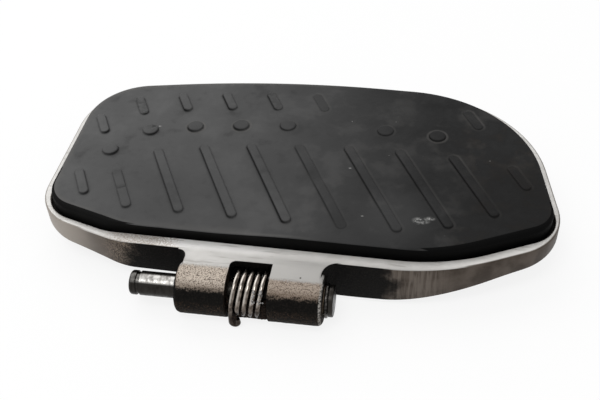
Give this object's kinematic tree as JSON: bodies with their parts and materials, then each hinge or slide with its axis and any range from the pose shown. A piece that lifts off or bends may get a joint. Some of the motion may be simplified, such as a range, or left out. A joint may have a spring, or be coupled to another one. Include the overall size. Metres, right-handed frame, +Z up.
{
  "type": "motorcycle floorboard",
  "caption": "Folding motorcycle floorboard: worn ribbed rubber pad in a cast aluminium tray, on a hinge pin with a torsion return spring.",
  "frame": {"origin": "middle of the part's box, on the plane under the lowest line of the hinge knuckles", "axes": "+X along the hinge pin towards its head, +Y across the board away from the hinge, +Z up out of the pad"},
  "size_m": [0.2646, 0.166, 0.0325],
  "materials": {
    "cast_aluminium": "cast, satin and scratched on the rim, rough and tarnished on the skirt",
    "pad_rubber": "black rubber, dusty grey and worn smooth on the hinge side",
    "zinc_steel": "dulled zinc plate",
    "pin_steel": "ground steel, oily and scuffed",
    "bush_bronze": "oiled sintered bronze",
    "spring_steel": "dark oiled spring wire"
  },
  "bodies": {
    "pin": {"hinge_pin": "pin_steel", "head_washer": "zinc_steel"},
    "board": {"tray_casting": "cast_aluminium", "rubber_pad": "pad_rubber", "backing_plate": "zinc_steel", "bush_left": "bush_bronze", "bush_right": "bush_bronze", "torsion_spring": "spring_steel", "weld_nut_1": "zinc_steel", "pad_screw_1": "zinc_steel", "screw_washer_1": "zinc_steel", "weld_nut_2": "zinc_steel", "pad_screw_2": "zinc_steel", "screw_washer_2": "zinc_steel", "weld_nut_3": "zinc_steel", "pad_screw_3": "zinc_steel", "screw_washer_3": "zinc_steel", "weld_nut_4": "zinc_steel", "pad_screw_4": "zinc_steel", "screw_washer_4": "zinc_steel", "weld_nut_5": "zinc_steel", "pad_screw_5": "zinc_steel", "screw_washer_5": "zinc_steel"}
  },
  "joints": [
    {"name": "fold", "type": "hinge", "parent": "pin", "child": "board", "pos_m": [-0.01286, -0.07057, 0.01246], "axis": [1, 0, 0], "range_deg": [0, 80], "stiffness_Nm_per_rad": 1.1, "springref_deg": -20.05}
  ]
}
